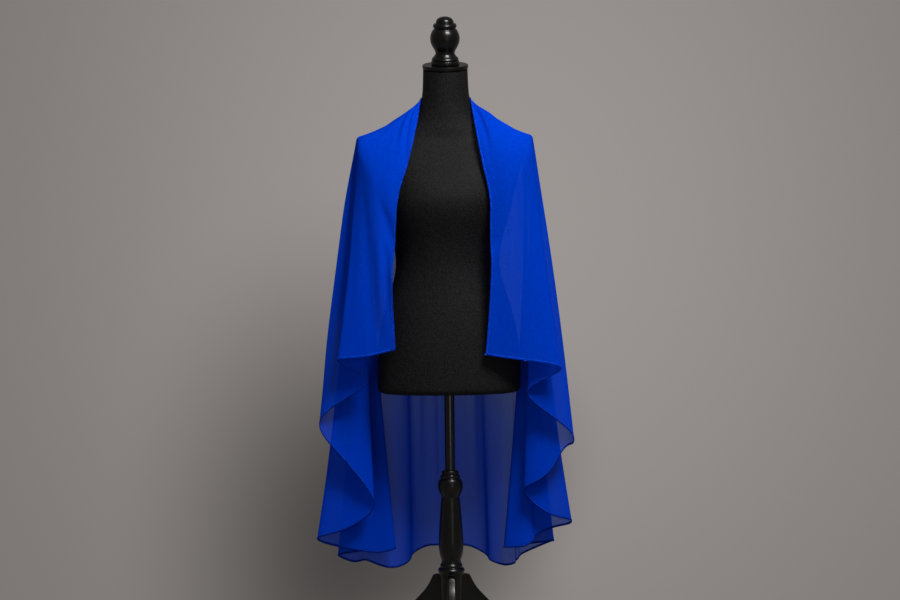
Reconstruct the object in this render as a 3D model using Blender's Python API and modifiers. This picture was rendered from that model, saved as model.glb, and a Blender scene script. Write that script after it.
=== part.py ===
"""A sheer open-fronted chapel veil, worn on a limbless dress form that stands on a turned tripod stand.

Metres, +Z up, the front faces -Y and +X is on the right as seen from the front.
Measures below are taken from the stand's axis, and that axis stands a little off the origin, so that
the origin is the middle of the floor under the whole object.
"""

import math

import bmesh
import bpy
from mathutils import Matrix, Vector

# ---------------------------------------------------------------- driving sizes
STAND_AT = (0.017, 0.009, 0.0)  # where the stand's axis meets the floor
GAP = 0.0003  # between two pieces that touch
WALL = 0.002  # thickness of the veil's wall

NECK_RING = 0.0580  # from the neck's axis to the veil's upper edge
NECK_EDGE_HEIGHT = 1.345  # the veil's upper edge, at the back and sides of the neck

FORM_SIDES = 36  # points round the dress form
FORM_RINGS_PER_ROW = 2
HEAD_TILT = math.radians(13.0)  # the neck plate and its finial lean to the front
PLATE_HEIGHT = 1.4211  # centre of the neck plate's top
PLATE_DEPTH = -0.010  # its place to the front of the stand's axis
PLATE_RADIUS = 0.0538
PLATE_THICK = 0.0090

POLE_RADIUS = 0.01215
COLUMN_TOP = 0.4655
COLUMN_FOOT = 0.2170
HUB_RADIUS = 0.0256
HUB_BOTTOM = 0.1050

COLUMNS_PER_FOLD = 5  # steps of the veil's wall between two rows of a fold table
YOKE_STEPS = 4  # from the neck to the turn over the shoulder
TURN_STEPS = 2  # round that turn
FALL_STEPS = 6  # from there to the hem

# ---------------------------------------------------------------- the veil's tables
# How the cloth lies on the form, from its front edge (0) round the shoulder to the middle of the back (1).
# It leaves the neck at an angle counted from the side of the neck towards the back, is pulled over the
# "over" point, and turns down at the "rim". "out" is the distance from the middle, which the left and the
# right rim have each their own. "turn" is the length that the turn at the rim takes on either side of it.
YOKE_COLUMNS = (
    "place", "neck_angle", "over_out", "over_depth", "over_height",
    "rim_left", "rim_right", "rim_depth", "rim_height", "turn",
)
YOKE = (
    (0.00, -6.0, 0.068, -0.105, 1.250, 0.1180, 0.1060, -0.132, 1.105, 0.050),
    (0.16, 8.0, 0.098, -0.072, 1.280, 0.1700, 0.1620, -0.104, 1.176, 0.040),
    (0.30, 22.0, 0.116, -0.030, 1.284, 0.2070, 0.2005, -0.044, 1.243, 0.018),
    (0.44, 36.0, 0.118, 0.000, 1.281, 0.2101, 0.2033, -0.004, 1.2535, 0.012),
    (0.60, 52.0, 0.114, 0.034, 1.284, 0.2040, 0.1980, 0.044, 1.242, 0.018),
    (0.75, 66.0, 0.086, 0.074, 1.296, 0.1700, 0.1650, 0.092, 1.206, 0.035),
    (0.88, 79.0, 0.045, 0.096, 1.304, 0.0900, 0.0700, 0.122, 1.188, 0.050),
    (1.00, 90.0, 0.000, 0.102, 1.306, 0.0000, 0.0000, 0.130, 1.184, 0.050),
)

# The hem, a row for each place where a fold turns, from the front edge to the middle of the back.
# "heading" is the way that the hem runs there, in degrees from straight back: 90 is outwards, -90 inwards.
# "bow" is how widely it turns, "belly" how far the fold's edge stands out of a straight fall, and "sag" how
# far the hem dips below a straight run on its way to the next row.
FOLD_COLUMNS = ("name", "place", "out", "depth", "height", "heading", "bow", "belly", "sag")
LEFT_FOLDS = (
    ("front_edge", 0.00, 0.1220, -0.125, 0.759, 90.0, 0.100, 0.009, 0.006),
    ("a_b", 0.30, 0.2585, -0.095, 0.734, 0.0, 0.036, -0.008, 0.000),
    ("b_c", 0.37, 0.1880, -0.062, 0.682, 0.0, 0.060, 0.000, 0.000),
    ("c_d", 0.44, 0.3075, -0.018, 0.575, 0.0, 0.080, 0.006, -0.006),
    ("d_e", 0.50, 0.1820, 0.040, 0.381, 0.0, 0.085, 0.000, 0.010),
    ("e_f", 0.55, 0.3223, 0.083, 0.292, 0.0, 0.070, -0.010, 0.000),
    ("f_lobe", 0.58, 0.1780, 0.104, 0.254, -90.0, 0.060, 0.000, 0.000),
    ("f_g", 0.61, 0.1327, 0.115, 0.263, 0.0, 0.055, 0.008, 0.000),
    ("g_h", 0.67, 0.2764, 0.148, 0.242, 0.0, 0.050, -0.008, 0.000),
    ("back_lobe", 0.72, 0.2360, 0.172, 0.221, -90.0, 0.040, 0.000, 0.000),
    ("back_notch", 0.75, 0.2120, 0.178, 0.224, -90.0, 0.030, 0.000, 0.000),
    ("back_low", 0.81, 0.1460, 0.160, 0.2075, -90.0, 0.080, 0.000, 0.000),
    ("back_step", 0.87, 0.0987, 0.200, 0.227, 0.0, 0.060, 0.000, 0.000),
    ("back_flat", 0.93, 0.0484, 0.240, 0.2494, -90.0, 0.060, 0.000, 0.000),
)
RIGHT_FOLDS = (
    ("front_edge", 0.00, 0.0845, -0.125, 0.746, 90.0, 0.120, 0.004, 0.000),
    ("a_b", 0.30, 0.2611, -0.088, 0.7086, 0.0, 0.040, -0.004, 0.000),
    ("b_c", 0.37, 0.1827, -0.055, 0.649, 0.0, 0.060, 0.000, 0.000),
    ("c_d", 0.44, 0.2942, -0.017, 0.535, 0.0, 0.040, 0.005, -0.020),
    ("d_drop", 0.47, 0.2394, 0.010, 0.460, -90.0, 0.050, 0.000, 0.005),
    ("d_e", 0.50, 0.1747, 0.034, 0.409, 0.0, 0.050, 0.000, 0.016),
    ("e_f", 0.55, 0.2904, 0.070, 0.3285, 0.0, 0.055, -0.013, -0.007),
    ("f_step", 0.58, 0.1990, 0.090, 0.287, 180.0, 0.020, 0.000, 0.000),
    ("f_lobe", 0.60, 0.1740, 0.080, 0.268, -90.0, 0.030, 0.000, 0.000),
    ("f_g", 0.63, 0.1271, 0.106, 0.264, 0.0, 0.050, 0.008, 0.000),
    ("g_h", 0.69, 0.2518, 0.150, 0.271, 0.0, 0.050, -0.010, 0.000),
    ("back_side", 0.74, 0.1802, 0.172, 0.2393, -90.0, 0.050, 0.000, 0.000),
    ("back_notch", 0.77, 0.1600, 0.164, 0.222, -100.0, 0.025, 0.000, 0.000),
    ("back_low", 0.81, 0.1370, 0.156, 0.2117, -90.0, 0.030, 0.000, 0.000),
    ("back_step", 0.88, 0.0906, 0.200, 0.223, 0.0, 0.060, 0.000, 0.000),
    ("back_flat", 0.94, 0.0320, 0.240, 0.2485, -90.0, 0.060, 0.000, 0.000),
)
BACK_MIDDLE = ("back_middle", 1.00, 0.0, 0.245, 0.248, -90.0, 0.050, 0.000, 0.000)

# ---------------------------------------------------------------- the dress form's table
FORM_COLUMNS = ("height", "half_width", "front", "back", "shift", "square", "tilt")
FORM = (
    (0.6500, 0.1560, 0.1000, 0.1020, 0.000, 2.15, 0.0),
    (0.6530, 0.1635, 0.1070, 0.1090, 0.000, 2.15, 0.0),
    (0.6650, 0.1690, 0.1130, 0.1150, 0.000, 2.15, 0.0),
    (0.7600, 0.1680, 0.1120, 0.1180, 0.000, 2.15, 0.0),
    (0.8400, 0.1520, 0.1030, 0.1080, 0.000, 2.15, 0.0),
    (0.9000, 0.1320, 0.0940, 0.0930, 0.000, 2.10, 0.0),
    (0.9550, 0.1190, 0.0890, 0.0860, 0.000, 2.10, 0.0),
    (1.0100, 0.1290, 0.0980, 0.0920, 0.000, 2.10, 0.0),
    (1.0600, 0.1440, 0.1190, 0.0990, 0.000, 2.20, 0.0),
    (1.1000, 0.1540, 0.1260, 0.1050, 0.000, 2.25, 0.0),
    (1.1400, 0.1640, 0.1130, 0.1110, 0.000, 2.30, 0.0),
    (1.1800, 0.1760, 0.0940, 0.1130, 0.000, 2.40, 0.0),
    (1.2150, 0.1860, 0.0760, 0.1020, 0.000, 2.40, 0.0),
    (1.2350, 0.1820, 0.0650, 0.0880, 0.000, 2.20, 0.0),
    (1.2500, 0.1540, 0.0600, 0.0780, 0.000, 2.00, 0.0),
    (1.2650, 0.1180, 0.0590, 0.0720, 0.000, 2.00, 0.0),
    (1.2850, 0.0860, 0.0560, 0.0650, 0.000, 2.00, 1.0),
    (1.3100, 0.0650, 0.0540, 0.0570, -0.001, 2.00, 3.0),
    (1.3450, 0.0550, 0.0530, 0.0530, -0.003, 2.00, 6.0),
    (1.3800, 0.0530, 0.0525, 0.0525, -0.006, 2.00, 10.0),
    (1.4100, 0.0523, 0.0523, 0.0523, -0.009, 2.00, 13.0),
)

# ---------------------------------------------------------------- turned profiles, radius and height
FINIAL = (
    (0.0000, 0.1150), (0.0080, 0.1141), (0.0142, 0.1115), (0.0188, 0.1078), (0.0215, 0.1035),
    (0.0224, 0.1010), (0.0262, 0.0988), (0.0280, 0.0950), (0.0266, 0.0905), (0.0243, 0.0880),
    (0.0290, 0.0820), (0.0327, 0.0740), (0.0346, 0.0640), (0.0333, 0.0525), (0.0293, 0.0426),
    (0.0243, 0.0340), (0.0225, 0.0285), (0.0262, 0.0236), (0.0303, 0.0186), (0.0319, 0.0137),
    (0.0305, 0.0102), (0.0325, 0.0085), (0.0332, 0.0040), (0.0330, 0.0000), (0.0000, 0.0000),
)
COLUMN = (
    (0.0000, 0.4655), (0.0165, 0.4655), (0.0195, 0.4635), (0.0200, 0.4590), (0.0192, 0.4555),
    (0.0232, 0.4540), (0.0238, 0.4500), (0.0225, 0.4470), (0.0268, 0.4420), (0.0297, 0.4290),
    (0.0272, 0.4150), (0.0222, 0.4050), (0.0212, 0.4010), (0.0228, 0.3930), (0.0262, 0.3500),
    (0.0290, 0.3050), (0.0292, 0.2850), (0.0268, 0.2640), (0.0228, 0.2510), (0.0240, 0.2440),
    (0.0266, 0.2400), (0.0262, 0.2350), (0.0300, 0.2320), (0.0320, 0.2275), (0.0300, 0.2235),
    (0.0290, 0.2215), (0.0290, 0.2170), (0.0000, 0.2170),
)

# ---------------------------------------------------------------- the legs
# A row for each section along a leg: the distance from the axis and the height of its upper and its lower
# side, and its width.
LEG_COLUMNS = ("top_reach", "top_height", "under_reach", "under_height", "wide")
LEG = (
    (0.0150, 0.2165, 0.0150, 0.1120, 0.0200),
    (0.0380, 0.2165, 0.0360, 0.1100, 0.0200),
    (0.0465, 0.2140, 0.0500, 0.1060, 0.0200),
    (0.0515, 0.2045, 0.0600, 0.1000, 0.0205),
    (0.0595, 0.1900, 0.0700, 0.0930, 0.0210),
    (0.0730, 0.1735, 0.0830, 0.0830, 0.0215),
    (0.0930, 0.1545, 0.1000, 0.0700, 0.0215),
    (0.1250, 0.1210, 0.1230, 0.0520, 0.0220),
    (0.1620, 0.0830, 0.1500, 0.0330, 0.0225),
    (0.1960, 0.0560, 0.1850, 0.0140, 0.0245),
    (0.2240, 0.0400, 0.2200, 0.0000, 0.0310),
    (0.2440, 0.0330, 0.2430, 0.0000, 0.0350),
    (0.2560, 0.0250, 0.2580, 0.0000, 0.0290),
    (0.2620, 0.0170, 0.2640, 0.0040, 0.0160),
)
LEG_SIDES = 16
LEG_ROUNDNESS = 0.45  # 1 would be an oval section, 0 a square one


# ---------------------------------------------------------------- small helpers
def rows(columns, table):
    """The table's rows as dictionaries, by column name."""
    return [dict(zip(columns, row)) for row in table]


def hermite(a, b, slope_a, slope_b, u):
    """A value between a and b at u, for numbers and vectors alike."""
    u2, u3 = u * u, u * u * u
    return (
        a * (2 * u3 - 3 * u2 + 1)
        + slope_a * (u3 - 2 * u2 + u)
        + b * (3 * u2 - 2 * u3)
        + slope_b * (u3 - u2)
    )


def even_slope(before, after):
    """The slope where two stretches meet, flat at a peak, so that the curve never overshoots."""
    if before * after <= 0.0:
        return 0.0
    return 2.0 * before * after / (before + after)


def smooth_column(places, values, at):
    """The value at a place, on a smooth curve through the values that never overshoots them."""
    last = len(places) - 2
    i = max(k for k in range(last + 1) if places[k] <= at or k == 0)
    rise = [
        (values[k + 1] - values[k]) / (places[k + 1] - places[k]) for k in range(last + 1)
    ]
    width = places[i + 1] - places[i]
    start = even_slope(rise[i - 1], rise[i]) if i > 0 else rise[0]
    end = even_slope(rise[i], rise[i + 1]) if i < last else rise[last]
    return hermite(values[i], values[i + 1], start * width, end * width, (at - places[i]) / width)


def smooth_rows(table, key, at):
    """A row worked out at a place between the table's rows, each column on its own smooth curve."""
    places = [row[key] for row in table]
    return {
        name: smooth_column(places, [row[name] for row in table], at) for name in table[0]
    }


def make_material(name, colour, roughness, metallic=0.0):
    material = bpy.data.materials.new(name)
    material.use_nodes = True
    shader = material.node_tree.nodes["Principled BSDF"]
    shader.inputs["Base Color"].default_value = (*colour, 1.0)
    shader.inputs["Roughness"].default_value = roughness
    shader.inputs["Metallic"].default_value = metallic
    material.diffuse_color = (*colour, 1.0)
    return material


def add_object(name, mesh, material, collection, parent):
    thing = bpy.data.objects.new(name, mesh)
    mesh.materials.append(material)
    collection.objects.link(thing)
    thing.parent = parent
    return thing


def grid_mesh(name, grid, closed_round=False):
    """A mesh from rows of points of one length, joined row to row."""
    mesh = bpy.data.meshes.new(name)
    width = len(grid[0])
    points = [point for row in grid for point in row]
    across = width if closed_round else width - 1
    faces = []
    for r in range(len(grid) - 1):
        for c in range(across):
            after = (c + 1) % width
            faces.append(
                (r * width + c, r * width + after, (r + 1) * width + after, (r + 1) * width + c)
            )
    mesh.from_pydata(points, [], faces)
    return mesh


def close_ends(mesh):
    """Puts a flat cap over each open ring and turns every face outwards."""
    shape = bmesh.new()
    shape.from_mesh(mesh)
    open_edges = [edge for edge in shape.edges if edge.is_boundary]
    bmesh.ops.holes_fill(shape, edges=open_edges, sides=0)
    bmesh.ops.recalc_face_normals(shape, faces=shape.faces)
    shape.to_mesh(mesh)
    shape.free()


# ---------------------------------------------------------------- the veil
def hem_points(folds, side, per_fold):
    """Points along one side's hem, each with its place round the shoulder and its belly."""
    found = []
    heights = [row["height"] for row in folds]
    places = [row["place"] for row in folds]
    counts = list(range(len(folds)))
    for i in range(len(folds) - 1):
        here, there = folds[i], folds[i + 1]
        ends = [Vector((side * row["out"], row["depth"], 0.0)) for row in (here, there)]
        runs = []
        for row in (here, there):
            heading = math.radians(row["heading"])
            runs.append(
                Vector((side * math.sin(heading), math.cos(heading), 0.0)) * row["bow"]
            )
        for k in range(per_fold):
            u = k / per_fold
            point = hermite(ends[0], ends[1], runs[0], runs[1], u)
            point.z = smooth_column(counts, heights, i + u)
            point.z -= here["sag"] * math.sin(math.pi * u) ** 2
            place = smooth_column(counts, places, i + u)
            belly = here["belly"] + (there["belly"] - here["belly"]) * u
            found.append((place, point, belly))
    last = folds[-1]
    found.append(
        (last["place"], Vector((side * last["out"], last["depth"], last["height"])), last["belly"])
    )
    return found


def fall_line(yoke, side, place, hem, belly):
    """One line of the cloth, from the neck over the shoulder or the chest and down to the hem."""
    row = smooth_rows(yoke, "place", place)
    angle = math.radians(row["neck_angle"])
    neck = Vector((side * math.cos(angle), math.sin(angle), 0.0)) * NECK_RING
    neck.z = NECK_EDGE_HEIGHT
    over = Vector((side * row["over_out"], row["over_depth"], row["over_height"]))
    rim_out = row["rim_left"] if side < 0 else row["rim_right"]
    rim = Vector((side * rim_out, row["rim_depth"], row["rim_height"]))
    before = rim + (over - rim).normalized() * row["turn"]
    after = rim + (hem - rim).normalized() * row["turn"]
    line = []
    for k in range(YOKE_STEPS):
        u = k / YOKE_STEPS
        line.append(neck * (1 - u) ** 2 + over * (2 * u * (1 - u)) + before * u**2)
    for k in range(TURN_STEPS):
        u = k / TURN_STEPS
        line.append(before * (1 - u) ** 2 + rim * (2 * u * (1 - u)) + after * u**2)
    for k in range(FALL_STEPS + 1):
        u = k / FALL_STEPS
        point = after + (hem - after) * u
        point.x += side * belly * 4 * u * (1 - u)
        line.append(point)
    return line


def build_veil(material, collection, parent):
    """One cut of cloth with an open front, as a wall of even thickness."""
    yoke = rows(YOKE_COLUMNS, YOKE)
    lines = []
    for side, folds in ((-1, LEFT_FOLDS), (1, RIGHT_FOLDS)):
        table = rows(FOLD_COLUMNS, folds + (BACK_MIDDLE,))
        half = [
            fall_line(yoke, side, place, hem, belly)
            for place, hem, belly in hem_points(table, side, COLUMNS_PER_FOLD)
        ]
        lines += half[:-1] if side < 0 else half[::-1]
    veil = add_object("veil", grid_mesh("veil", lines), material, collection, parent)
    wall = veil.modifiers.new("wall", "SOLIDIFY")
    wall.thickness = WALL
    wall.offset = 0.0
    wall.use_even_offset = True
    wall.thickness_clamp = 1.0
    veil.data.shade_smooth()
    return veil


# ---------------------------------------------------------------- the dress form and what tops it
def form_ring(row):
    """One section of the dress form, a rounded oblong, deeper behind or in front as the body is."""
    points = []
    power = 2.0 / row["square"]
    turned = Matrix.Rotation(math.radians(row["tilt"]), 3, "X")
    for k in range(FORM_SIDES):
        angle = 2 * math.pi * k / FORM_SIDES
        c, s = math.cos(angle), math.sin(angle)
        depth = row["back"] if s > 0 else row["front"]
        point = Vector(
            (
                row["half_width"] * math.copysign(abs(c) ** power, c),
                depth * math.copysign(abs(s) ** power, s),
                0.0,
            )
        )
        points.append(turned @ point + Vector((0.0, row["shift"], row["height"])))
    return points


def build_form(material, collection, parent):
    table = rows(FORM_COLUMNS, FORM)
    for index, row in enumerate(table):
        row["index"] = float(index)
    steps = (len(table) - 1) * FORM_RINGS_PER_ROW
    rings = [
        form_ring(smooth_rows(table, "index", k / FORM_RINGS_PER_ROW)) for k in range(steps + 1)
    ]
    mesh = grid_mesh("dress_form", rings, closed_round=True)
    close_ends(mesh)
    form = add_object("dress_form", mesh, material, collection, parent)
    mesh.shade_smooth()
    mesh.set_sharp_from_angle(angle=math.radians(50))
    return form


def turned(name, profile, steps, material, collection, parent):
    """A piece turned round its own Z axis, from a profile that runs down its outer side."""
    mesh = bpy.data.meshes.new(name)
    points = [(radius, 0.0, height) for radius, height in profile]
    mesh.from_pydata(points, [(k, k + 1) for k in range(len(points) - 1)], [])
    piece = add_object(name, mesh, material, collection, parent)
    screw = piece.modifiers.new("turned", "SCREW")
    screw.axis = "Z"
    screw.steps = steps
    screw.render_steps = steps
    screw.use_merge_vertices = True
    screw.merge_threshold = 0.00005
    screw.use_smooth_shade = True
    return piece


def build_head(material, collection, parent):
    """The neck plate and the finial on it, which lean to the front together."""
    lean = bpy.data.objects.new("head_lean", None)
    collection.objects.link(lean)
    lean.parent = parent
    lean.location = (0.0, PLATE_DEPTH, PLATE_HEIGHT)
    lean.rotation_euler = (HEAD_TILT, 0.0, 0.0)
    edge = 0.0012
    plate = (
        (0.0, 0.0),
        (PLATE_RADIUS - edge, 0.0),
        (PLATE_RADIUS, -edge),
        (PLATE_RADIUS, edge - PLATE_THICK),
        (PLATE_RADIUS - edge, -PLATE_THICK),
        (0.0, -PLATE_THICK),
    )
    turned("neck_plate", plate, 40, material, collection, lean)
    finial = turned("finial", FINIAL, 28, material, collection, lean)
    finial.location = (0.0, 0.0, GAP)


# ---------------------------------------------------------------- the stand
def build_stand(wood, metal, collection, parent):
    pole_top = FORM[0][0] - GAP
    pole_bottom = COLUMN_TOP + GAP
    pole = (
        (0.0, pole_top),
        (POLE_RADIUS, pole_top),
        (POLE_RADIUS, pole_bottom),
        (0.0, pole_bottom),
    )
    turned("pole", pole, 24, metal, collection, parent)
    turned("column", COLUMN, 28, wood, collection, parent)
    round_off = 0.006
    hub_top = COLUMN_FOOT - GAP
    hub = (
        (0.0, hub_top),
        (HUB_RADIUS, hub_top),
        (HUB_RADIUS, HUB_BOTTOM + round_off),
        (HUB_RADIUS - round_off, HUB_BOTTOM),
        (0.0, HUB_BOTTOM),
    )
    turned("hub", hub, 36, wood, collection, parent)


def leg_mesh():
    """One cabriole leg along +X from the stand's axis, its foot flat on the floor."""
    rings = []
    highest = math.cos(math.pi / LEG_SIDES) ** LEG_ROUNDNESS
    for row in rows(LEG_COLUMNS, LEG):
        top = Vector((row["top_reach"], 0.0, row["top_height"]))
        under = Vector((row["under_reach"], 0.0, row["under_height"]))
        middle = (top + under) / 2
        ring = []
        for k in range(LEG_SIDES):
            angle = 2 * math.pi * (k + 0.5) / LEG_SIDES
            c, s = math.cos(angle), math.sin(angle)
            across = math.copysign(abs(c) ** LEG_ROUNDNESS, c) * row["wide"] / 2
            up = math.copysign(abs(s) ** LEG_ROUNDNESS, s) / highest
            point = middle + (top - under) * up / 2
            ring.append(point + Vector((0.0, across, 0.0)))
        rings.append(ring)
    mesh = grid_mesh("leg", rings, closed_round=True)
    close_ends(mesh)
    return mesh


def build_legs(material, collection, cutters, parent):
    cut_radius = HUB_RADIUS + GAP
    bpy.ops.mesh.primitive_cylinder_add(vertices=36, radius=cut_radius, depth=0.4)
    cutter = bpy.context.object
    cutter.name = "hub_cutter"
    for owner in list(cutter.users_collection):
        owner.objects.unlink(cutter)
    cutters.objects.link(cutter)
    cutter.parent = parent
    cutter.location = (0.0, 0.0, HUB_BOTTOM)
    cutter.hide_render = True
    cutter.display_type = "WIRE"
    shape = leg_mesh()
    for name, heading in (("leg_front", -90.0), ("leg_right", 30.0), ("leg_left", 150.0)):
        mesh = shape.copy()
        leg = add_object(name, mesh, material, collection, parent)
        leg.rotation_euler = (0.0, 0.0, math.radians(heading))
        fit = leg.modifiers.new("fit_to_hub", "BOOLEAN")
        fit.operation = "DIFFERENCE"
        fit.object = cutter
        mesh.shade_smooth()
        mesh.set_sharp_from_angle(angle=math.radians(60))


# ---------------------------------------------------------------- the whole object
def main():
    for thing in list(bpy.data.objects):
        bpy.data.objects.remove(thing, do_unlink=True)
    collection = bpy.data.collections.new("chapel_veil_on_dress_form")
    cutters = bpy.data.collections.new("cutters")
    for group in (collection, cutters):
        bpy.context.scene.collection.children.link(group)
    axis = bpy.data.objects.new("stand_axis", None)
    collection.objects.link(axis)
    axis.location = STAND_AT

    chiffon = make_material("blue_chiffon", (0.006, 0.030, 0.55), 0.60)
    jersey = make_material("black_jersey", (0.012, 0.012, 0.013), 0.85)
    wood = make_material("black_wood", (0.008, 0.008, 0.009), 0.28)
    metal = make_material("black_metal", (0.010, 0.010, 0.011), 0.32, 0.4)

    build_veil(chiffon, collection, axis)
    build_form(jersey, collection, axis)
    build_head(wood, collection, axis)
    build_stand(wood, metal, collection, axis)
    build_legs(wood, collection, cutters, axis)


main()
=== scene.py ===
"""The look of a sheer royal blue chapel veil on a black dress form, and the studio it stands in."""
import math

import bmesh
import bpy
import numpy as np
from mathutils import Matrix, Vector, noise


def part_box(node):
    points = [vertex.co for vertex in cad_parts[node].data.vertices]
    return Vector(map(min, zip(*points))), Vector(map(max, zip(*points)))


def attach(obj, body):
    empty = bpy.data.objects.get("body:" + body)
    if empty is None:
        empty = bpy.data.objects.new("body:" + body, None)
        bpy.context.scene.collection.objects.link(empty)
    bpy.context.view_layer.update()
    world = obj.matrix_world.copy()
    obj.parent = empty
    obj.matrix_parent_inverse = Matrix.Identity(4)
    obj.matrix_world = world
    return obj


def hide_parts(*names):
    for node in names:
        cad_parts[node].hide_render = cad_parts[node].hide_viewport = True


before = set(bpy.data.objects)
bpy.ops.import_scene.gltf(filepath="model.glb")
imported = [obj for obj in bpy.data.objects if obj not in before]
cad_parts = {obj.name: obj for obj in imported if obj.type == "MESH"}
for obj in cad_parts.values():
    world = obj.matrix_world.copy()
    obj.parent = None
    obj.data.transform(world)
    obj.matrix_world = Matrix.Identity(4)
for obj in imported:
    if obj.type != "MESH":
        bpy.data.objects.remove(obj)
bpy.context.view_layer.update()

# ---------------------------------------------------------------- sizes, in metres
POLE_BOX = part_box("pole")
STAND_AT = Vector(((POLE_BOX[0][0] + POLE_BOX[1][0]) / 2, (POLE_BOX[0][1] + POLE_BOX[1][1]) / 2, 0.0))

NECK_RING = 0.0580  # from the neck's axis to the veil's upper edge
NECK_EDGE_HEIGHT = 1.345

CLOTH_STEP = 0.0065  # between two fall lines, at the hem
LEAST_COLUMNS = 5  # fall lines between two rows of a fold table, at the least
YOKE_STEPS = 16
TURN_STEPS = 10
FALL_STEPS = 46

HEM_WIDTH = 0.0055  # the narrow hem, turned twice and stitched
HEM_THICK = 0.0013
HEM_SIDES = 8
STITCH_PITCH = 0.0045
STITCH_LENGTH = 0.0030
STITCH_RADIUS = 0.00030
STITCH_SIDES = 5
STITCH_LINE = 0.78  # where the stitches run, as a share of the hem's width
STITCH_LIFT = 0.36  # how far from its middle they lie, as a share of its thickness
# A row for each section of a stitch: its place as a share of the length, and its radius and its height over
# the hem as shares of the stitch's radius.
STITCH = ((-0.5, 0.45, 0.2), (-0.25, 1.0, 0.9), (0.25, 1.0, 0.9), (0.5, 0.45, 0.2))
KNOTS = (0.0, 0.090)  # along the hem from the right front's corner
KNOT_TURNS = 12
KNOT_TURN = 2.4  # radians from one turn of thread to the next
KNOT_TILT = 0.9  # the most that a turn leans
KNOT_SWAY = 1.7  # how fast the lean changes from turn to turn
KNOT_SCALE = 1.5  # its turns of thread against a stitch

HEAD_TILT = math.radians(13.0)  # of the neck plate and the finial, towards the front
PLATE_HEIGHT = 1.4211
PLATE_DEPTH = -0.010
GAP = 0.0003  # between the plate and the finial

# ---------------------------------------------------------------- the veil's tables
# How the cloth leaves the neck, is pulled over the form and turns down at the rim, from the front edge at
# place 0 to the back's middle at 1. "turn" is the length on either side of the rim that is rounded off.
YOKE_COLUMNS = (
    "place", "neck_angle", "over_out", "over_depth", "over_height",
    "rim_left", "rim_right", "rim_depth", "rim_height", "turn",
)
YOKE = (
    (0.00, -6.0, 0.068, -0.105, 1.250, 0.1180, 0.1060, -0.132, 1.105, 0.050),
    (0.16, 8.0, 0.098, -0.072, 1.280, 0.1700, 0.1620, -0.104, 1.176, 0.040),
    (0.30, 22.0, 0.116, -0.030, 1.284, 0.2070, 0.2005, -0.044, 1.243, 0.018),
    (0.44, 36.0, 0.118, 0.000, 1.281, 0.2101, 0.2033, -0.004, 1.2535, 0.008),
    (0.60, 52.0, 0.114, 0.034, 1.284, 0.2040, 0.1980, 0.044, 1.242, 0.018),
    (0.75, 66.0, 0.086, 0.074, 1.296, 0.1700, 0.1650, 0.092, 1.206, 0.035),
    (0.88, 79.0, 0.045, 0.096, 1.304, 0.0900, 0.0700, 0.122, 1.188, 0.050),
    (1.00, 90.0, 0.000, 0.102, 1.306, 0.0000, 0.0000, 0.130, 1.184, 0.050),
)
# The hem, a row where each fold turns, from the front edge to the back. "heading" is the hem's way there: 0
# straight back, 90 outwards, -90 inwards, and "bow" how far it keeps to it. "belly" is how far the fall above
# swings out, and "sag" how far the hem dips before the next row.
FOLD_COLUMNS = ("place", "out", "depth", "height", "heading", "bow", "belly", "sag")
LEFT_FOLDS = (
    (0.00, 0.1220, -0.125, 0.759, 90.0, 0.100, 0.005, 0.006),
    (0.30, 0.2585, -0.095, 0.734, 0.0, 0.036, -0.008, 0.000),
    (0.37, 0.1880, -0.062, 0.682, 0.0, 0.060, 0.000, 0.000),
    (0.44, 0.3075, -0.018, 0.575, 0.0, 0.080, 0.006, -0.006),
    (0.50, 0.1820, 0.040, 0.381, 0.0, 0.085, 0.000, 0.010),
    (0.55, 0.3223, 0.083, 0.292, 0.0, 0.070, -0.010, 0.000),
    (0.58, 0.1780, 0.104, 0.254, -90.0, 0.060, 0.000, 0.000),
    (0.61, 0.1327, 0.115, 0.263, 0.0, 0.055, 0.004, 0.000),
    (0.67, 0.2764, 0.148, 0.242, 0.0, 0.050, -0.008, 0.000),
    (0.72, 0.2360, 0.172, 0.221, -90.0, 0.040, 0.000, 0.000),
    (0.75, 0.2120, 0.178, 0.224, -90.0, 0.030, 0.000, 0.000),
    (0.81, 0.1460, 0.160, 0.2075, -90.0, 0.080, 0.000, 0.000),
    (0.87, 0.0987, 0.200, 0.227, 0.0, 0.060, 0.000, 0.000),
    (0.93, 0.0484, 0.240, 0.2494, -90.0, 0.060, 0.000, 0.000),
)
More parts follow.
